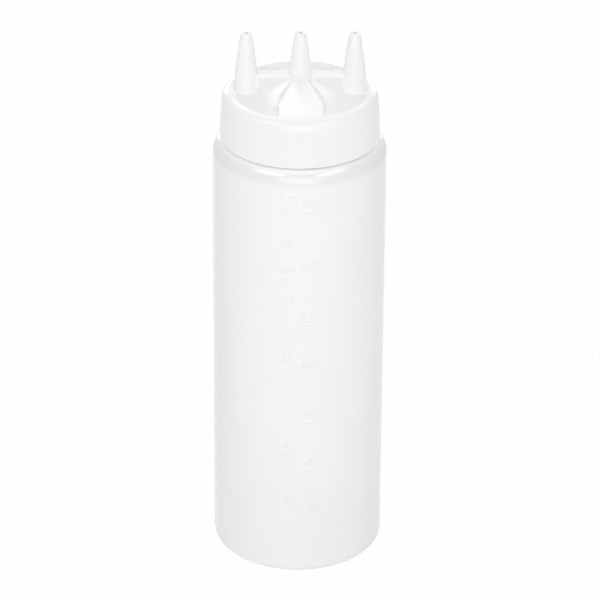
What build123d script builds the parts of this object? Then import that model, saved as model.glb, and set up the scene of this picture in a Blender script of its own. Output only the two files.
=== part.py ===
"""Wide-mouth squeeze bottle for sauces, with a screw cap that carries three pouring nozzles.

The origin is the middle of the base, +Z points up and the three nozzles stand in a row along X.
All sizes are in millimetres.
"""

from build123d import *

import os
from math import cos, radians, tan

# ---------------------------------------------------------------- bottle: driving dimensions
body_diameter = 74.2
body_wall = 0.9
shoulder_height = 197.3
shoulder_radius = 7.0
shoulder_ledge = 0.1  # least flat ring that is left between the shoulder's rounding and the neck
base_edge_radius = 3.2
base_wall = 1.1
foot_width = 4.0  # flat ring that the bottle stands on
push_up = 3.5  # how far the middle of the base is domed inwards

neck_diameter = 59.2
neck_wall = 1.4
neck_height = 16.7
neck_root_radius = 0.4

# ---------------------------------------------------------------- cap: driving dimensions
thread_depth = 1.4
thread_clearance = 0.4
skirt_wall = 1.8  # at the top of the skirt, before the draft thickens it
skirt_draft = 3.3  # degrees
skirt_gap = 0.2  # between the closed skirt and the bottle's shoulder
top_rounding = 4.6
lip_wall = 1.5
lip_radius = 0.4
relief_height = 3.0  # plain mouth of the skirt, below its threaded part
plate_thickness = 1.6
seat_thickness = 3.5  # of the top plate where the sealing ring sits under it

plug_clearance = 0.3
plug_wall = 1.1
plug_depth = 3.0

seal_thickness = 1.0
seal_clearance = 0.25

cone_diameter = 41.0
cone_slope = 22.1  # degrees
crown_height = 7.5  # of the web and the hub, above the top plate
crown_wall = 1.5
crown_rounding = 0.8
hub_diameter = 12.0
web_width = 6.0
pad_reach = 29.0  # from the axis to the foot of the sloping pad
pad_drop = 0.5  # from the hub's top to the pad's upper edge
pad_width = 18.6  # between the upright sides of the pad's lower part
pad_hip_width = 24.6  # across the two flanks, where their slopes would reach the top plate
pad_flank = 36.0  # degrees, slope of the flanks

nozzle_spacing = 22.9
nozzle_height = 26.0
nozzle_foot_diameter = 10.7
nozzle_tip_diameter = 4.8
nozzle_bulge = 0.3
nozzle_lip_radius = 0.5
nozzle_root_radius = 1.0
nozzle_wall = 1.5  # at the foot of each nozzle
orifice_diameter = 1.6
orifice_land = 2.0

# ---------------------------------------------------------------- sizes that follow from them
body_radius = body_diameter / 2
foot_radius = body_radius - base_edge_radius - foot_width
neck_radius = neck_diameter / 2
ledge_width = body_radius - neck_radius
shoulder_fillet = min(shoulder_radius, ledge_width - neck_root_radius - shoulder_ledge)
mouth_radius = neck_radius - neck_wall
mouth_height = shoulder_height + neck_height

seat_height = mouth_height + seal_thickness
cap_top = seat_height + seat_thickness
plate_underside = cap_top - plate_thickness
skirt_bottom = shoulder_height + skirt_gap
bore_radius = neck_radius + thread_depth + thread_clearance
skirt_top_radius = bore_radius + skirt_wall
skirt_bottom_radius = skirt_top_radius + (cap_top - skirt_bottom) * tan(radians(skirt_draft))
relief_radius = skirt_bottom_radius - lip_wall
relief_step = relief_radius - bore_radius
plug_radius = mouth_radius - plug_clearance
crown_top = cap_top + crown_height
hub_radius = hub_diameter / 2
nozzle_top = cap_top + nozzle_height
nozzle_places = [-nozzle_spacing, 0, nozzle_spacing]

os.makedirs("parts", exist_ok=True)

# ---------------------------------------------------------------- bottle
# A blown wall of even thickness: the section runs up the outside, over the mouth and down the
# inside, and the base is pushed up so that the bottle stands on a ring and not on its middle.
with BuildPart() as bottle:
    with BuildSketch(Plane.XZ) as bottle_section:
        with BuildLine():
            outside = FilletPolyline(
                (foot_radius, 0),
                (body_radius, 0),
                (body_radius, shoulder_height),
                (neck_radius, shoulder_height),
                (neck_radius, mouth_height),
                radius=[base_edge_radius, shoulder_fillet, neck_root_radius],
            )
            inside = FilletPolyline(
                (mouth_radius, mouth_height),
                (mouth_radius, shoulder_height - body_wall),
                (body_radius - body_wall, shoulder_height - body_wall),
                (body_radius - body_wall, base_wall),
                (foot_radius, base_wall),
                radius=[
                    neck_root_radius + neck_wall,
                    shoulder_fillet - body_wall,
                    base_edge_radius - body_wall,
                ],
            )
            Line(outside @ 1, inside @ 0)
            TangentArc((0, push_up), outside @ 0, tangent=(1, 0))
            TangentArc((0, push_up + base_wall), inside @ 1, tangent=(1, 0))
            Line((0, push_up), (0, push_up + base_wall))
        make_face()
    revolve(axis=Axis.Z)

bottle.part.label = "bottle"
export_step(bottle.part, "parts/bottle.step")

# ---------------------------------------------------------------- sealing ring
# A flat washer that lies on the bottle's mouth, loose between the cap's plug and its thread.
with BuildPart() as seal_ring:
    with BuildSketch(Plane.XY.offset(mouth_height)):
        Circle(bore_radius - seal_clearance)
        Circle(plug_radius + seal_clearance, mode=Mode.SUBTRACT)
    extrude(amount=seal_thickness)

seal_ring.part.label = "seal_ring"
export_step(seal_ring.part, "parts/seal_ring.step")


# ---------------------------------------------------------------- crown of the cap
def cone_form(inset, foot):
    """The low cone in the middle of the cap, its slope moved in by inset."""
    slope = tan(radians(cone_slope))
    apex = cap_top + cone_diameter / 2 * slope - inset / cos(radians(cone_slope))
    with BuildPart() as cone:
        with BuildSketch(Plane.XZ):
            Polygon((0, foot), ((apex - foot) / slope, foot), (0, apex), align=None)
        revolve(axis=Axis.Z)
    return cone.part


def web_form(inset, foot):
    """The hub round the middle nozzle and the upright web that joins the three nozzles."""
    with BuildPart() as web:
        with BuildSketch(Plane.XY.offset(foot)):
            Rectangle(2 * nozzle_spacing, web_width - 2 * inset)
            Circle(hub_radius - inset)
        extrude(amount=crown_top - inset - foot)
        if inset == 0:
            fillet(web.faces().sort_by(Axis.Z)[-1].edges(), radius=crown_rounding)
    return web.part


def pad_form(inset, foot):
    """The sloping pad in front of the hub, hipped above and upright at the sides below."""
    run = pad_reach - hub_radius
    rise = crown_height - pad_drop
    ridge = crown_top - pad_drop - inset * (rise**2 + run**2) ** 0.5 / run
    flank_slope = tan(radians(pad_flank))
    flank_foot = cap_top - inset / cos(radians(pad_flank))
    side = pad_width / 2 - inset
    side_top = flank_foot + (pad_hip_width / 2 - side) * flank_slope
    hip = pad_hip_width / 2 - (ridge - flank_foot) / flank_slope

    with BuildPart() as pad:
        with BuildSketch(Plane.XZ):
            Polygon(
                (0, foot),
                (0, ridge),
                (hub_radius, ridge),
                (pad_reach, ridge - rise),
                (pad_reach, foot),
                align=None,
            )
        revolve(axis=Axis.Z)
        with BuildSketch(Plane.XZ):
            Polygon(
                (-side, foot),
                (side, foot),
                (side, side_top),
                (hip, ridge),
                (-hip, ridge),
                (-side, side_top),
                align=None,
            )
        extrude(amount=pad_reach, mode=Mode.INTERSECT)
    return pad.part


def crown_form(inset, foot):
    """Cone, web and pad as one solid."""
    cone = cone_form(inset, foot)
    web = web_form(inset, foot)
    pad = pad_form(inset, foot)
    with BuildPart() as crown:
        add(cone)
        add(web)
        add(pad)
    return crown.part


# ---------------------------------------------------------------- nozzles of the cap
def nozzle_form():
    """One solid nozzle on the axis: an ogive with a flared root and a rounded lip."""
    tip_radius = nozzle_tip_diameter / 2
    root_radius = nozzle_foot_diameter / 2
    with BuildPart() as nozzle:
        with BuildSketch(Plane.XZ):
            with BuildLine():
                side = SagittaArc(
                    (root_radius, cap_top + nozzle_root_radius),
                    (tip_radius, nozzle_top - nozzle_lip_radius),
                    -nozzle_bulge,
                )
                root = TangentArc(
                    side @ 0, (root_radius + nozzle_root_radius, cap_top), tangent=-(side % 0)
                )
                lip = TangentArc(
                    side @ 1, (tip_radius - nozzle_lip_radius, nozzle_top), tangent=side % 1
                )
                Polyline(
                    lip @ 1,
                    (0, nozzle_top),
                    (0, plate_underside),
                    (root_radius + nozzle_root_radius, plate_underside),
                    root @ 1,
                )
            make_face()
        revolve(axis=Axis.Z)
    return nozzle.part


def nozzle_bore():
    """The passage of one nozzle: it tapers up to a short straight land at the tip."""
    foot_bore = nozzle_foot_diameter / 2 - nozzle_wall
    below = plate_underside - plate_thickness
    with BuildPart() as bore:
        with BuildSketch(Plane.XZ):
            Polygon(
                (0, below),
                (foot_bore, below),
                (foot_bore, cap_top),
                (orifice_diameter / 2, nozzle_top - orifice_land),
                (orifice_diameter / 2, nozzle_top + orifice_land),
                (0, nozzle_top + orifice_land),
                align=None,
            )
        revolve(axis=Axis.Z)
    return bore.part


# ---------------------------------------------------------------- cap
# One moulding. The shell is turned first, then the crown and the nozzles stand on its top plate,
# and the same forms, drawn smaller, are taken out from below.
crown_outside = crown_form(0, plate_underside)
crown_inside = crown_form(crown_wall, plate_underside - plate_thickness)
nozzle_outside = nozzle_form()
nozzle_inside = nozzle_bore()

with BuildPart() as cap:
    with BuildSketch(Plane.XZ):
        with BuildLine():
            skirt = FilletPolyline(
                (0, cap_top),
                (skirt_top_radius, cap_top),
                (skirt_bottom_radius, skirt_bottom),
                (relief_radius, skirt_bottom),
                radius=[top_rounding, lip_radius],
            )
            Polyline(
                skirt @ 1,
                (relief_radius, skirt_bottom + relief_height),
                (bore_radius, skirt_bottom + relief_height + relief_step),
                (bore_radius, seat_height),
                (plug_radius, seat_height),
                (plug_radius, seat_height - plug_depth),
                (plug_radius - plug_wall, seat_height - plug_depth),
                (plug_radius - plug_wall, plate_underside),
                (0, plate_underside),
                skirt @ 0,
            )
        make_face()
    revolve(axis=Axis.Z)
    add(crown_outside)
    with Locations(*[(x, 0, 0) for x in nozzle_places]):
        add(nozzle_outside)
    add(crown_inside, mode=Mode.SUBTRACT)
    with Locations(*[(x, 0, 0) for x in nozzle_places]):
        add(nozzle_inside, mode=Mode.SUBTRACT)

cap.part.label = "cap"
export_step(cap.part, "parts/cap.step")
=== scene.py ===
# %% [markdown]
# This is a squeeze bottle for sauces. It is blown from natural polyethylene and closed by a moulded
# screw cap with three pouring nozzles. The lesson dresses the finished CAD model: the solids stay
# where they are, and each cell adds a small raised detail, a finish or a light. Everything is in
# metres, with +Z up and the middle of the base at the origin.

# %% Load the CAD frame
import math

import bmesh
import bpy
from mathutils import Matrix, Vector


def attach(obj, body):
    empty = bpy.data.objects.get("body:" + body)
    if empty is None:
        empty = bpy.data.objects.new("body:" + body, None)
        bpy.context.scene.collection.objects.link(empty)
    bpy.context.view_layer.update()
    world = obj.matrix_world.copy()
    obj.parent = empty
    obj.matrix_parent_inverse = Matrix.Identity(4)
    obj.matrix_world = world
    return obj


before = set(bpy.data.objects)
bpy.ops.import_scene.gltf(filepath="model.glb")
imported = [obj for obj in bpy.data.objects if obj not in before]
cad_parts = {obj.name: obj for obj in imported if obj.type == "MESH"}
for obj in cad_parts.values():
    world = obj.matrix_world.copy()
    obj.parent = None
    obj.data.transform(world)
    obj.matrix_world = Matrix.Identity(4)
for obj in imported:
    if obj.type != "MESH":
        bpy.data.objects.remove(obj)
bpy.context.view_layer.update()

MM = 0.001

# %% [markdown]
# The camera comes first, because it settles how large every detail looks. The bottle is seen from
# 28 degrees above, through a long lens that keeps its sides nearly parallel. A chain of plain
# matrices reads like the way such a shot is set up: turn round the bottle, tip down, step back,
# and roll a little. The numbers are easier to change here than in a finished matrix.

# %% Camera
CAMERA_TURN = math.radians(-1.24)
CAMERA_RAISE = math.radians(28.17)
CAMERA_ROLL = math.radians(0.38)
CAMERA_DISTANCE = 1636.2 * MM
CAMERA_AIM = Vector((0.51, 0.0, 117.0)) * MM
LENS = 224.7

camera_data = bpy.data.cameras.new("camera")
camera_data.lens = LENS
camera_data.clip_end = 20.0
camera = bpy.data.objects.new("camera", camera_data)
camera.matrix_world = (
    Matrix.Rotation(CAMERA_TURN, 4, "Z")
    @ Matrix.Translation(CAMERA_AIM)
    @ Matrix.Rotation(math.pi / 2 - CAMERA_RAISE, 4, "X")
    @ Matrix.Translation((0.0, 0.0, CAMERA_DISTANCE))
    @ Matrix.Rotation(CAMERA_ROLL, 4, "Z")
)
bpy.context.scene.collection.objects.link(camera)
bpy.context.scene.camera = camera
print("camera at", [round(value, 3) for value in camera.matrix_world.translation])

# %% [markdown]
# The bottle stands in a white studio. White paper all round throws a low, even light from every
# side, so no shadow goes black, and the softboxes below add the rest. The eye should still see
# pure white behind the bottle, and so should anything that mirrors or passes the background.
# Making the light stronger would bleach the plastic, so the Light Path node swaps in a clean white
# for those rays only.

# %% White for the rays that see the background
def background_rays(nodes, links):
    """1 for rays that look at the background, directly or through gloss and glass."""
    path = nodes.new("ShaderNodeLightPath")
    highest = path.outputs["Is Camera Ray"]
    for name in ("Is Glossy Ray", "Is Transmission Ray"):
        either = nodes.new("ShaderNodeMath")
        either.operation = "MAXIMUM"
        links.new(highest, either.inputs[0])
        links.new(path.outputs[name], either.inputs[1])
        highest = either.outputs["Value"]
    return highest


ROOM_LIGHT = 0.29

world = bpy.data.worlds.new("white_studio")
world.use_nodes = True
bpy.context.scene.world = world
nodes, links = world.node_tree.nodes, world.node_tree.links
room = nodes["Background"]
room.inputs["Color"].default_value = (1.0, 1.0, 1.0, 1.0)
room.inputs["Strength"].default_value = ROOM_LIGHT
paper = nodes.new("ShaderNodeBackground")
paper.inputs["Color"].default_value = (1.0, 1.0, 1.0, 1.0)
paper.inputs["Strength"].default_value = 1.0
swap = nodes.new("ShaderNodeMixShader")
links.new(background_rays(nodes, links), swap.inputs["Fac"])
links.new(room.outputs[0], swap.inputs[1])
links.new(paper.outputs[0], swap.inputs[2])
links.new(swap.outputs[0], nodes["World Output"].inputs["Surface"])
print("room light", ROOM_LIGHT)

# %% [markdown]
# The bottle stands on a white table. A pale diffuse surface takes the bottle's soft shadow, and the
# same swap lifts most of it to white, so that only a breath of shadow is left round the foot.

# %% White table
TABLE_SIZE = 8.0
TABLE_COLOUR = (0.84, 0.84, 0.84, 1.0)
TABLE_ROUGHNESS = 0.9
TABLE_LIFT = 0.975

bpy.ops.mesh.primitive_plane_add(size=TABLE_SIZE)
table = bpy.context.object
table.name = "table"

table_white = bpy.data.materials.new("table_white")
table_white.use_nodes = True
nodes, links = table_white.node_tree.nodes, table_white.node_tree.links
surface = nodes["Principled BSDF"]
surface.inputs["Base Color"].default_value = TABLE_COLOUR
surface.inputs["Roughness"].default_value = TABLE_ROUGHNESS
surface.inputs["Specular IOR Level"].default_value = 0.0
glow = nodes.new("ShaderNodeEmission")
glow.inputs["Strength"].default_value = 1.0
lift = nodes.new("ShaderNodeMath")
lift.operation = "MULTIPLY"
lift.inputs[1].default_value = TABLE_LIFT
links.new(background_rays(nodes, links), lift.inputs[0])
swap = nodes.new("ShaderNodeMixShader")
links.new(lift.outputs["Value"], swap.inputs["Fac"])
links.new(surface.outputs["BSDF"], swap.inputs[1])
links.new(glow.outputs["Emission"], swap.inputs[2])
links.new(swap.outputs[0], nodes["Material Output"].inputs["Surface"])
table.data.materials.append(table_white)
print("table", [round(side, 2) for side in table.dimensions])

# %% [markdown]
# Six softboxes light the bottle, as in a small studio tent. Two hang high at the left and right of
# the camera: they light the cone, and their reflections are the two arcs on the shoulder. Two high
# ones behind give the sloping pad and the edge of the cap their sheen. A large one in front rounds
# the body, and a weaker one behind does the same for the back. The left ones are a little stronger,
# so that every form has a lighter and a darker side.

# %% Softboxes
# For each pair: place of the right one, what it faces, its size, and the power of left and right.
BOX_PAIRS = {
    "key": ((0.62, -0.5, 1.1), (0.0, 0.0, 0.2), (0.7, 0.4), (2.4, 2.0)),
    "back": ((0.35, 0.8, 1.1), (0.2, 0.4, 0.0), (0.6, 0.8), (3.2, 2.0)),
}
FRONT_BOX = ((0.0, -1.9, 0.75), (0.0, 0.0, 0.12), (1.8, 1.5), 18.5)
REAR_BOX = ((0.0, 1.7, 0.45), (0.0, 0.0, 0.12), (1.8, 0.8), 6.5)


def softbox(name, place, aim, size, power):
    lamp_data = bpy.data.lights.new(name, "AREA")
    lamp_data.shape = "RECTANGLE"
    lamp_data.size, lamp_data.size_y = size
    lamp_data.energy = power
    lamp = bpy.data.objects.new(name, lamp_data)
    lamp.location = place
    lamp.rotation_euler = (Vector(aim) - Vector(place)).to_track_quat("-Z", "Y").to_euler()
    bpy.context.scene.collection.objects.link(lamp)
    print(name, power, "W at", place)


for kind, (place, aim, size, powers) in BOX_PAIRS.items():
    for word, side, power in zip(("left", "right"), (-1, 1), powers):
        softbox(f"{kind}_{word}_box", (side * place[0], *place[1:]), (side * aim[0], *aim[1:]),
                size, power)
softbox("front_box", *FRONT_BOX)
softbox("rear_box", *REAR_BOX)

# %% [markdown]
# Every raised detail starts as a bmesh and ends the same way: the normals are made to point
# outwards, the mesh becomes an object that stays at the origin, and the piece is told which moving
# body it rides on. One helper keeps that ending in one place.

# %% Turn a bmesh into a finished piece
def finish_piece(bm, name, body, smooth=True):
    bmesh.ops.recalc_face_normals(bm, faces=bm.faces)
    for face in bm.faces:
        face.smooth = smooth
    mesh = bpy.data.meshes.new(name)
    bm.to_mesh(mesh)
    bm.free()
    piece = bpy.data.objects.new(name, mesh)
    bpy.context.scene.collection.objects.link(piece)
    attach(piece, body)
    print(name, len(mesh.vertices), "vertices, rides on", body)
    return piece


# %% [markdown]
# A screw thread in soft plastic is a rounded rib that climbs round the neck. It could be swept
# along a curve, but the spin operator does it in one call: a disc is carried round the axis and
# lifted a little at each step. The disc is centred on the wall, so that half of the rib is buried
# and no gap can open. At both ends the rib tapers into the wall, as a moulded thread does.

# %% Carry a rib round an axis
RIB_SIDES = 12
POINTED_END = 0.06  # size of a rib's very end, as a share of its full size


def turned_rib(across, along, start, turns, rise_per_turn, taper, steps_per_turn=72):
    """A rib whose half-oval stands out by across; along is half its width, taper in degrees."""
    bm = bmesh.new()
    bmesh.ops.create_circle(bm, cap_ends=True, segments=RIB_SIDES, radius=1.0)
    bmesh.ops.rotate(bm, verts=bm.verts, matrix=Matrix.Rotation(math.pi / 2, 3, "X"))
    bmesh.ops.scale(bm, verts=bm.verts, vec=(across, 1.0, along))
    bmesh.ops.translate(bm, verts=bm.verts, vec=start)
    ring_size = len(bm.verts)
    steps = round(steps_per_turn * turns)
    bmesh.ops.spin(
        bm, geom=bm.faces[:], cent=(0.0, 0.0, 0.0), axis=(0.0, 0.0, 1.0),
        dvec=(0.0, 0.0, rise_per_turn * turns / steps), angle=math.tau * turns, steps=steps,
        use_merge=False,
    )
    bm.verts.ensure_lookup_table()
    fade_steps = max(1, round(taper / 360 * steps_per_turn))
    for step in range(steps + 1):
        ring = bm.verts[step * ring_size:(step + 1) * ring_size]
        near_end = min(step, steps - step) / fade_steps
        if near_end < 1.0:
            middle = sum((vertex.co for vertex in ring), Vector()) / ring_size
            size = max(POINTED_END, math.sin(near_end * math.pi / 2))
            bmesh.ops.scale(bm, verts=ring, vec=(size,) * 3, space=Matrix.Translation(-middle))
    return bm


# %% [markdown]
# The neck and the cap share one pitch of six turns to the inch. The cap's rib starts half a pitch
# higher, so it lies between the turns of the neck's rib and slides along them as the cap turns.

# %% Thread on the neck and thread in the cap
PITCH = 25.4 / 6 * MM
NECK_RADIUS = 29.6 * MM
BORE_RADIUS = 31.4 * MM
THREAD_START = 201.6 * MM
NECK_TURNS = 2.4
CAP_TURNS = NECK_TURNS - 0.5
THREAD_TAPER = 30  # degrees
NECK_THREAD = (1.25 * MM, 1.3 * MM)  # how far it stands out, half its width
CAP_THREAD = (1.2 * MM, 1.1 * MM)

neck_thread = finish_piece(
    turned_rib(*NECK_THREAD, (NECK_RADIUS, 0.0, THREAD_START), NECK_TURNS, PITCH, THREAD_TAPER),
    "neck_thread", "bottle",
)
cap_start = (BORE_RADIUS, 0.0, THREAD_START + PITCH / 2)
cap_thread = finish_piece(
    turned_rib(*CAP_THREAD, cap_start, CAP_TURNS, PITCH, THREAD_TAPER),
    "cap_thread", "cap",
)

# %% [markdown]
# A blown bottle is made between two mould halves. Where they pinch off the hot tube, a straight
# weld is left across the base. The base is domed, so the weld is a flat oval that is spun about the
# centre of the dome, from one end to the other.

# %% Weld across the domed base
DOME_HEIGHT = 3.5 * MM
FOOT_RING = 29.9 * MM
WELD_REACH = 24.0 * MM
WELD_SIZE = (0.45 * MM, 0.9 * MM)  # how far it stands out, half its width
WELD_STEPS = 24

dome_radius = (FOOT_RING**2 + DOME_HEIGHT**2) / (2 * DOME_HEIGHT)
weld_angle = math.asin(WELD_REACH / dome_radius)
dome_centre = Vector((0.0, 0.0, DOME_HEIGHT - dome_radius))
bm = bmesh.new()
bmesh.ops.create_circle(bm, cap_ends=True, segments=RIB_SIDES, radius=1.0)
bmesh.ops.rotate(bm, verts=bm.verts, matrix=Matrix.Rotation(math.pi / 2, 3, "Y"))
bmesh.ops.scale(bm, verts=bm.verts, vec=(1.0, WELD_SIZE[1], WELD_SIZE[0]))
bmesh.ops.translate(bm, verts=bm.verts, vec=(0.0, 0.0, DOME_HEIGHT))
bmesh.ops.rotate(bm, verts=bm.verts, cent=dome_centre, matrix=Matrix.Rotation(-weld_angle, 3, "Y"))
bmesh.ops.spin(
    bm, geom=bm.faces[:], cent=dome_centre, axis=(0.0, 1.0, 0.0), angle=2 * weld_angle,
    steps=WELD_STEPS, use_merge=False,
)
base_weld = finish_piece(bm, "base_weld", "bottle")

# %% [markdown]
# Where the mould halves close, a hair-thin line runs up both sides of the body. It follows the
# wall, so it is made in two moves: an extrusion up the straight part, then a spin round the
# shoulder.

# %% Mould lines up both sides
BODY_RADIUS = 37.1 * MM
SHOULDER_ROUNDING = 7.0 * MM
SHOULDER_HEIGHT = 197.3 * MM
LINE_FOOT = 3.2 * MM
LINE_SIZE = (0.07 * MM, 0.16 * MM)  # how far it stands out, half its width
LINE_SIDES = 10
LINE_BEND = math.radians(85)
LINE_BEND_STEPS = 10

bm = bmesh.new()
for side in (1, -1):
    disc = bmesh.ops.create_circle(bm, cap_ends=True, segments=LINE_SIDES, radius=1.0)["verts"]
    bmesh.ops.scale(bm, verts=disc, vec=(LINE_SIZE[0], LINE_SIZE[1], 1.0))
    bmesh.ops.translate(bm, verts=disc, vec=(side * BODY_RADIUS, 0.0, LINE_FOOT))
    end = list({face for vertex in disc for face in vertex.link_faces})
    grown = bmesh.ops.extrude_face_region(bm, geom=end)["geom"]
    rise = SHOULDER_HEIGHT - SHOULDER_ROUNDING - LINE_FOOT
    top = [item for item in grown if isinstance(item, bmesh.types.BMVert)]
    bmesh.ops.translate(bm, verts=top, vec=(0.0, 0.0, rise))
    bmesh.ops.spin(
        bm, geom=[item for item in grown if isinstance(item, bmesh.types.BMFace)],
        cent=(side * (BODY_RADIUS - SHOULDER_ROUNDING), 0.0, LINE_FOOT + rise),
        axis=(0.0, -side, 0.0), angle=LINE_BEND, steps=LINE_BEND_STEPS,
        use_merge=False,
    )
mould_lines = finish_piece(bm, "mould_lines", "bottle")

# %% [markdown]
# The bottle carries two scales, millilitres on the right and fluid ounces on the left, raised by
# a third of a millimetre. Their steps follow from the bore of the body: 50 ml fills it by 12 mm.
# Each mark is drawn flat first, with x along the wall and y up, and is then wrapped round the body,
# which is simpler than placing every stroke on the curve.

# %% Wrap a flat drawing round the body
SCALE_FRONT = math.radians(-91.24)  # the side of the body that the middle of the drawing faces
MARK_HEIGHT = 0.35 * MM
MARK_ROOT = 0.15 * MM  # how deep a mark is sunk into the wall


def wrap_on_body(bm):
    """Flat (x, y, z) becomes (along the wall, up, outwards)."""
    for vertex in bm.verts:
        turn = SCALE_FRONT + vertex.co.x / BODY_RADIUS
        reach = BODY_RADIUS - MARK_ROOT + vertex.co.z
        vertex.co = Vector((reach * math.cos(turn), reach * math.sin(turn), vertex.co.y))


# %% [markdown]
# Each line of a scale is a little bar. A cube is scaled to it, and a bevel softens its two long
# upper edges, as the cutter of the mould does. Once all bars are drawn, one cut down the middle of
# each scale gives them a seam to bend at, so they follow the round wall.

# %% Lines of the two scales
BAR_EDGE = 0.12 * MM


def flat_bar(bm, middle, width, height):
    """One line of a scale: a flat block with a softened top."""
    made = bmesh.ops.create_cube(bm, size=1.0)["verts"]
    bmesh.ops.scale(bm, verts=made, vec=(width, height, MARK_HEIGHT + MARK_ROOT))
    bmesh.ops.translate(bm, verts=made, vec=(*middle, (MARK_HEIGHT + MARK_ROOT) / 2))
    along = [
        edge for edge in {edge for vertex in made for edge in vertex.link_edges}
        if abs(edge.verts[0].co.x - edge.verts[1].co.x) > width / 2
    ]
    raised = [edge for edge in along if edge.verts[0].co.z > MARK_HEIGHT]
    bmesh.ops.bevel(
        bm, geom=raised, offset=BAR_EDGE, affect="EDGES", segments=2, profile=0.5, material=-1
    )


# Height of the first line, distance between lines, number of lines.
ML_FIRST, ML_STEP, ML_COUNT = 16.81 * MM, 12.03 * MM, 14
OZ_FIRST, OZ_STEP, OZ_COUNT = 18.63 * MM, 14.23 * MM, 12
ML_LINE = (4.1 * MM, 3.6 * MM)  # middle from the front, width
OZ_LINE = (-5.0 * MM, 5.6 * MM)
LINE_HEIGHT = 0.55 * MM

bm = bmesh.new()
for (middle, width), first, step, count in (
    (ML_LINE, ML_FIRST, ML_STEP, ML_COUNT),
    (OZ_LINE, OZ_FIRST, OZ_STEP, OZ_COUNT),
):
    for line in range(count):
        flat_bar(bm, (middle, first + line * step), width, LINE_HEIGHT)
for middle, width in (ML_LINE, OZ_LINE):
    bmesh.ops.bisect_plane(
        bm, geom=bm.verts[:] + bm.edges[:] + bm.faces[:],
        plane_co=(middle, 0.0, 0.0), plane_no=(1.0, 0.0, 0.0),
    )
wrap_on_body(bm)
scale_lines = finish_piece(bm, "scale_lines", "bottle", smooth=False)

# %% [markdown]
# The numbers are set in the built-in font. A text object is a curve, so it can be given a thickness
# and a softened edge before it becomes a mesh. The numbers and the units of both scales make one
# piece.

# %% Numbers of the two scales
CAPITAL_SHARE = 0.69  # height of a capital letter, as a share of the font's size
WORD_EDGE = 0.05 * MM


def lettering(bm, words, middle, height):
    """Adds raised words to the flat drawing, centred on middle."""
    text = bpy.data.curves.new("words", "FONT")
    text.body = words
    text.size = height / CAPITAL_SHARE
    text.align_x = "CENTER"
    text.align_y = "CENTER"
    text.resolution_u = 3
    text.extrude = (MARK_HEIGHT + MARK_ROOT) / 2
    text.bevel_depth = WORD_EDGE
    text.bevel_resolution = 1
    holder = bpy.data.objects.new("words", text)
    bpy.context.scene.collection.objects.link(holder)
    bpy.context.view_layer.update()
    ready = holder.evaluated_get(bpy.context.evaluated_depsgraph_get())
    drawn = bpy.data.meshes.new_from_object(ready)
    drawn.transform(Matrix.Translation((*middle, (MARK_HEIGHT + MARK_ROOT) / 2)))
    bm.from_mesh(drawn)
    bpy.data.objects.remove(holder)
    bpy.data.curves.remove(text)
    bpy.data.meshes.remove(drawn)


NUMBER_HEIGHT = 3.6 * MM
NUMBER_LIFT = 4.1 * MM  # from a line to the middle of its number
UNIT_LIFT = 9.6 * MM  # from the last line to the middle of the unit
ML_PER_LINE, ML_NUMBER_X = 50, 4.7 * MM
OZ_PER_LINE, OZ_NUMBER_X = 2, -5.0 * MM
SAME_POINT = 0.001 * MM

bm = bmesh.new()
for line in range(1, ML_COUNT, 2):
    height = ML_FIRST + line * ML_STEP + NUMBER_LIFT
    lettering(bm, str(ML_PER_LINE * (line + 1)), (ML_NUMBER_X, height), NUMBER_HEIGHT)
ml_height = ML_FIRST + (ML_COUNT - 1) * ML_STEP + UNIT_LIFT
lettering(bm, "ML", (ML_NUMBER_X, ml_height), NUMBER_HEIGHT)
for line in range(OZ_COUNT):
    height = OZ_FIRST + line * OZ_STEP + NUMBER_LIFT
    lettering(bm, str(OZ_PER_LINE * (line + 1)), (OZ_NUMBER_X, height), NUMBER_HEIGHT)
oz_height = OZ_FIRST + (OZ_COUNT - 1) * OZ_STEP + UNIT_LIFT
lettering(bm, "OZ", (OZ_NUMBER_X, oz_height), NUMBER_HEIGHT)
bmesh.ops.remove_doubles(bm, verts=bm.verts, dist=SAME_POINT)
wrap_on_body(bm)
scale_numbers = finish_piece(bm, "scale_numbers", "bottle", smooth=False)

# %% [markdown]
# Three effects come back in more than one finish, so each is a node group with named sockets: the
# cloudy depth of a translucent plastic, the skin that the mould leaves on it, and the faint rubbing
# that handling adds. A group gives out only masks and heights. The shaders stay in the materials.

# %% Helper for the node groups
def new_group(name, inputs, outputs):
    """inputs maps a socket name to (type, default); outputs are plain numbers."""
    group = bpy.data.node_groups.new(name, "ShaderNodeTree")
    for label, (kind, default) in inputs.items():
        socket = group.interface.new_socket(label, in_out="INPUT", socket_type=kind)
        if default is not None:
            socket.default_value = default
    for label in outputs:
        group.interface.new_socket(label, in_out="OUTPUT", socket_type="NodeSocketFloat")
    return group, group.nodes.new("NodeGroupInput"), group.nodes.new("NodeGroupOutput")


def numbered(nodes, links, operation, first, second):
    """A Math node; first and second are sockets or plain numbers."""
    node = nodes.new("ShaderNodeMath")
    node.operation = operation
    for socket, value in zip(node.inputs, (first, second)):
        if isinstance(value, (int, float)):
            socket.default_value = value
        else:
            links.new(value, socket)
    return node.outputs["Value"]


VECTOR, NUMBER = "NodeSocketVector", "NodeSocketFloat"

# %% [markdown]
# Natural polyethylene isn't one even white. Slow differences in how the melt cooled leave soft
# clouds in it. One soft noise gives a mask for them, and its contrast is turned up or down about
# the middle, so that stronger clouds don't make the plastic darker as a whole.

# %% Cloudy depth
CLOUD_DETAIL = 2.5
CLOUD_ROUGHNESS = 0.5

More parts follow.
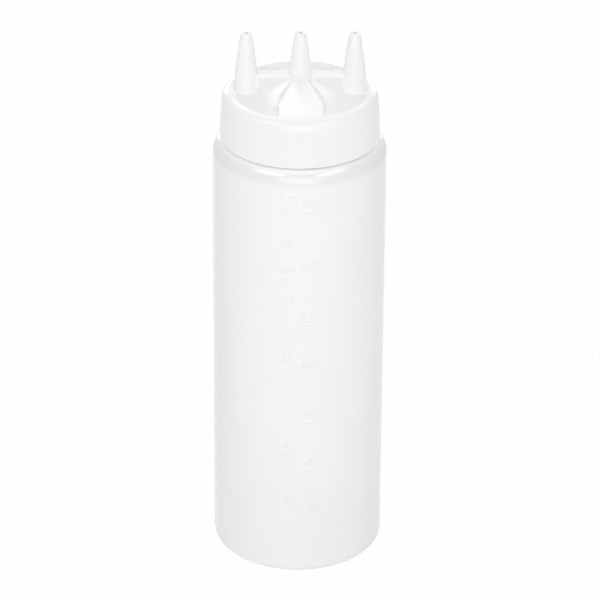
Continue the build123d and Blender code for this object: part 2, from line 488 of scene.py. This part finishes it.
cloudy, given, out = new_group(
    "cloudy_depth",
    {"Place": (VECTOR, None), "Cloud Size": (NUMBER, 0.02), "Contrast": (NUMBER, 1.0)},
    ["Clouds"],
)
nodes, links = cloudy.nodes, cloudy.links
frequency = numbered(nodes, links, "DIVIDE", 1.0, given.outputs["Cloud Size"])
noise = nodes.new("ShaderNodeTexNoise")
noise.inputs["Detail"].default_value = CLOUD_DETAIL
noise.inputs["Roughness"].default_value = CLOUD_ROUGHNESS
links.new(given.outputs["Place"], noise.inputs["Vector"])
links.new(frequency, noise.inputs["Scale"])
centred = numbered(nodes, links, "SUBTRACT", noise.outputs["Fac"], 0.5)
spread = numbered(nodes, links, "MULTIPLY", centred, given.outputs["Contrast"])
links.new(numbered(nodes, links, "ADD", spread, 0.5), out.inputs["Clouds"])
print("group", cloudy.name)

# %% [markdown]
# The skin has a fine grain from the mould's face and a slow wave where the wall shrank. The slow
# wave is what makes a highlight on a blown bottle wander a little. Heights are in metres, so the
# Bump node can use them as they are.

# %% Moulded skin
skin, given, out = new_group(
    "moulded_skin",
    {
        "Place": (VECTOR, None),
        "Grain Size": (NUMBER, 0.0004), "Grain Height": (NUMBER, 2e-6),
        "Wave Size": (NUMBER, 0.03), "Wave Height": (NUMBER, 3e-5),
    },
    ["Height"],
)
nodes, links = skin.nodes, skin.links
heights = []
for size, height, detail in (
    ("Grain Size", "Grain Height", 2.0),
    ("Wave Size", "Wave Height", 1.0),
):
    noise = nodes.new("ShaderNodeTexNoise")
    noise.inputs["Detail"].default_value = detail
    links.new(given.outputs["Place"], noise.inputs["Vector"])
    links.new(numbered(nodes, links, "DIVIDE", 1.0, given.outputs[size]), noise.inputs["Scale"])
    heights.append(numbered(nodes, links, "MULTIPLY", noise.outputs["Fac"], given.outputs[height]))
links.new(numbered(nodes, links, "ADD", *heights), out.inputs["Height"])
print("group", skin.name)

# %% [markdown]
# Bottles rub against each other in the box. The rubbed places are a little duller, in streaks that
# run mostly upwards. Stretching the place before it meets the noise draws the streaks, and a steep
# ramp keeps only the strongest of them.

# %% Rubbed streaks
STREAK_STRETCH = (1.0, 1.0, 0.12)
STREAK_TILT = (0.15, 0.1, 0.0)
STREAK_DETAIL = 3.0
STREAKS_FROM, STREAKS_FULL = 0.52, 0.72

rubbed, given, out = new_group(
    "rubbed_streaks",
    {"Place": (VECTOR, None), "Streak Size": (NUMBER, 0.002), "Amount": (NUMBER, 0.3)},
    ["Rubbed"],
)
nodes, links = rubbed.nodes, rubbed.links
stretch = nodes.new("ShaderNodeMapping")
stretch.inputs["Scale"].default_value = STREAK_STRETCH
stretch.inputs["Rotation"].default_value = STREAK_TILT
links.new(given.outputs["Place"], stretch.inputs["Vector"])
noise = nodes.new("ShaderNodeTexNoise")
noise.inputs["Detail"].default_value = STREAK_DETAIL
links.new(stretch.outputs["Vector"], noise.inputs["Vector"])
frequency = numbered(nodes, links, "DIVIDE", 1.0, given.outputs["Streak Size"])
links.new(frequency, noise.inputs["Scale"])
keep = nodes.new("ShaderNodeMapRange")
keep.inputs["From Min"].default_value = STREAKS_FROM
keep.inputs["From Max"].default_value = STREAKS_FULL
links.new(noise.outputs["Fac"], keep.inputs["Value"])
strength = numbered(nodes, links, "MULTIPLY", keep.outputs["Result"], given.outputs["Amount"])
links.new(strength, out.inputs["Rubbed"])
print("group", rubbed.name)

# %% [markdown]
# All three plastics are built alike: two whites mixed by the clouds, a skin that is a little
# rougher where it was rubbed, and its grain as a bump. On the wall and the cap a mask of painted
# shade and painted light is added to the clouds, which makes the white deeper or paler in places.
# A number that is the same all over, such as the refractive index, is set on the shader itself.

# %% Build a plastic
REFRACTIVE_INDEX = 1.51
SHINY_ROUGHNESS = 0.08


def use_group(nodes, links, group, place, **values):
    node = nodes.new("ShaderNodeGroup")
    node.node_tree = group
    links.new(place, node.inputs["Place"])
    for label, value in values.items():
        node.inputs[label.replace("_", " ").title()].default_value = value
    return node


def soft_plastic(name, pale, deep, roughness, clouds, grain, rub, evenness=0.0, painted_shade_and_light=None,
                 shiny=None):
    """evenness, from 0 to 1, flattens the shading. The two mask makers take (nodes, links, place):
    the first gives painted shade and painted light, which make the white deeper or paler and are
    added to the clouds; shiny gives a glossy skin."""
    material = bpy.data.materials.new(name)
    material.use_nodes = True
    nodes, links = material.node_tree.nodes, material.node_tree.links
    plastic = nodes["Principled BSDF"]
    place = nodes.new("ShaderNodeTexCoord").outputs["Object"]

    clouds_and_painted_shade = use_group(nodes, links, cloudy, place, **clouds).outputs["Clouds"]
    # Painted shade and painted light: this mask makes the white deeper or paler where it is added.
    if painted_shade_and_light:
        clouds_and_painted_shade = numbered(nodes, links, "ADD", clouds_and_painted_shade, painted_shade_and_light(nodes, links, place))
    whites = nodes.new("ShaderNodeMix")
    whites.data_type = "RGBA"
    whites.clamp_factor = False
    whites.inputs["A"].default_value = (pale, pale, pale, 1.0)
    whites.inputs["B"].default_value = (deep, deep, deep, 1.0)
    links.new(clouds_and_painted_shade, whites.inputs["Factor"])
    links.new(whites.outputs["Result"], plastic.inputs["Base Color"])

    streaks = use_group(nodes, links, rubbed, place, **rub).outputs["Rubbed"]
    links.new(numbered(nodes, links, "ADD", streaks, roughness), plastic.inputs["Roughness"])

    bump = nodes.new("ShaderNodeBump")
    bump.inputs["Strength"].default_value = 1.0
    bump.inputs["Distance"].default_value = 1.0
    height = use_group(nodes, links, skin, place, **grain).outputs["Height"]
    links.new(height, bump.inputs["Height"])
    links.new(bump.outputs["Normal"], plastic.inputs["Normal"])

    plastic.inputs["IOR"].default_value = REFRACTIVE_INDEX
    plastic.inputs["Diffuse Roughness"].default_value = evenness
    if shiny:
        links.new(shiny(nodes, links, place), plastic.inputs["Coat Weight"])
        plastic.inputs["Coat Roughness"].default_value = SHINY_ROUGHNESS
    print("plastic", name)
    return material


# %% [markdown]
# The blown wall is natural low-density polyethylene: milky, satin and slightly see-through. Its
# white is a little deeper towards the bottom. On the corner of the shoulder the white is painted
# deeper, as painted shade beside the arcs of light, and from there to the neck it is painted paler,
# as painted light in the crease under the cap's lip. The mould is polished round the shoulder and
# the neck, so they come out shiny and the shoulder draws sharp arcs of light. Soft ramps on the
# height give both masks. Light that wanders in the wall before it comes back makes the shading
# flatter than on paint.

# %% Blown wall
def ramp(nodes, links, value, start, end, top=1.0):
    """0 up to start and top from end on, with a soft slope between them."""
    slope = nodes.new("ShaderNodeMapRange")
    slope.interpolation_type = "SMOOTHSTEP"
    slope.inputs["From Min"].default_value = start
    slope.inputs["From Max"].default_value = end
    slope.inputs["To Min"].default_value = 0.0
    slope.inputs["To Max"].default_value = top
    links.new(value, slope.inputs["Value"])
    return slope.outputs["Result"]


def height_of(nodes, links, place):
    parts = nodes.new("ShaderNodeSeparateXYZ")
    links.new(place, parts.inputs["Vector"])
    return parts.outputs["Z"]


# The heights at which a mask starts and is full and, for a shade, how much deeper the white is;
# a value below zero makes it paler.
# Darker towards the bottom.
LOW_SHADE = (56 * MM, 34 * MM, 0.5)
# Painted shade: the corner of the shoulder is made deeper, beside its arcs of light.
SHOULDER_PAINTED_SHADE = (189.0 * MM, 192.0 * MM, 2.2)
# Painted light: from here up the white is made paler, which lightens the crease under the lip.
NECK_PAINTED_LIGHT = (195.1 * MM, 196.0 * MM, -3.5)
POLISHED_FROM = (193.6 * MM, 194.8 * MM)


# Painted shade on the shoulder and painted light towards the neck, over a deeper white low down.
def wall_painted_shade_and_light(nodes, links, place):
    height = height_of(nodes, links, place)
    shade = ramp(nodes, links, height, *LOW_SHADE)
    for more in (SHOULDER_PAINTED_SHADE, NECK_PAINTED_LIGHT):
        shade = numbered(nodes, links, "ADD", shade, ramp(nodes, links, height, *more))
    return shade


def polished_shoulder(nodes, links, place):
    return ramp(nodes, links, height_of(nodes, links, place), *POLISHED_FROM)


blown_wall = soft_plastic(
    "blown_wall", pale=0.96, deep=0.93, roughness=0.16, evenness=0.5,
    clouds=dict(cloud_size=28 * MM, contrast=0.8),
    grain=dict(
        grain_size=0.35 * MM, grain_height=0.001 * MM, wave_size=22 * MM, wave_height=0.02 * MM
    ),
    rub=dict(streak_size=2.2 * MM, amount=0.015),
    painted_shade_and_light=wall_painted_shade_and_light,
    shiny=polished_shoulder,
)

# %% [markdown]
# The cap is injection moulded in the same kind of plastic, from a steel mould, so it hardly waves.
# Light wanders a little further in it, which makes its shading even flatter at the sides. The
# faces of the web between the nozzles get painted shade: their white is made deeper than the
# plate's. The skirt's lip gets painted light: its white is made paler, which lightens the crease
# between the lip and the shoulder. A mask made of soft ramps on the place picks out just those
# parts.

# %% Moulded cap
# Painted light on the lip: where its mask starts and where it is full, and how much deeper the
# white then is; below zero it is paler.
LIP_PAINTED_LIGHT = (198.2 * MM, 197.8 * MM, -1.8)
# The same for the web's painted shade, whose mask has a start and an end on each of its sides.
WEB_PAINTED_SHADE = 2.6
WEB_INNER_END = (5.4 * MM, 6.2 * MM)
WEB_OUTER_END = (18.5 * MM, 17.6 * MM)
WEB_FACE = (3.3 * MM, 3.15 * MM)
WEB_FOOT = (218.8 * MM, 219.4 * MM)
WEB_TOP = (225.7 * MM, 225.1 * MM)


# Painted shade on the web's faces and painted light on the skirt's lip.
def cap_painted_shade_and_light(nodes, links, place):
    where = nodes.new("ShaderNodeSeparateXYZ")
    links.new(place, where.inputs["Vector"])
    along = numbered(nodes, links, "ABSOLUTE", where.outputs["X"], 0.0)
    across = numbered(nodes, links, "ABSOLUTE", where.outputs["Y"], 0.0)
    height = where.outputs["Z"]
    mask = ramp(nodes, links, along, *WEB_INNER_END, WEB_PAINTED_SHADE)
    for value, limits in (
        (along, WEB_OUTER_END), (across, WEB_FACE), (height, WEB_FOOT), (height, WEB_TOP),
    ):
        mask = numbered(nodes, links, "MULTIPLY", mask, ramp(nodes, links, value, *limits))
    return numbered(nodes, links, "ADD", mask, ramp(nodes, links, height, *LIP_PAINTED_LIGHT))


moulded_cap = soft_plastic(
    "moulded_cap", pale=0.94, deep=0.915, roughness=0.22, evenness=0.8,
    clouds=dict(cloud_size=14 * MM, contrast=0.8),
    grain=dict(
        grain_size=0.3 * MM, grain_height=0.0008 * MM, wave_size=9 * MM, wave_height=0.004 * MM
    ),
    rub=dict(streak_size=1.6 * MM, amount=0.01),
    painted_shade_and_light=cap_painted_shade_and_light,
)

# %% [markdown]
# The sealing ring is punched from foamed polyethylene sheet. It has closed cells of about a third
# of a millimetre, which show as fine pits, and no gloss at all.

# %% Foam of the sealing ring
foam = soft_plastic(
    "foam_sheet", pale=0.93, deep=0.86, roughness=0.7,
    clouds=dict(cloud_size=1.2 * MM, contrast=1.5),
    grain=dict(
        grain_size=0.35 * MM, grain_height=0.12 * MM, wave_size=5 * MM, wave_height=0.02 * MM
    ),
    rub=dict(streak_size=1.0 * MM, amount=0.1),
)

# %% [markdown]
# Now each piece gets its finish. The raised details are part of the same mouldings, so they take
# the same plastic as the solid they stand on.

# %% Give each piece its finish
finishes = {
    blown_wall: [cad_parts["bottle"], neck_thread, base_weld, mould_lines, scale_lines,
                 scale_numbers],
    moulded_cap: [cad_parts["cap"], cap_thread],
    foam: [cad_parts["seal_ring"]],
}
for finish, pieces in finishes.items():
    for piece in pieces:
        piece.data.materials.clear()
        piece.data.materials.append(finish)
    print(finish.name, [piece.name for piece in pieces])

# %% [markdown]
# The last cell keeps the plain display transform, so that a colour comes out as it is written.

# %% Keep the plain display transform
bpy.context.scene.view_settings.view_transform = "Standard"
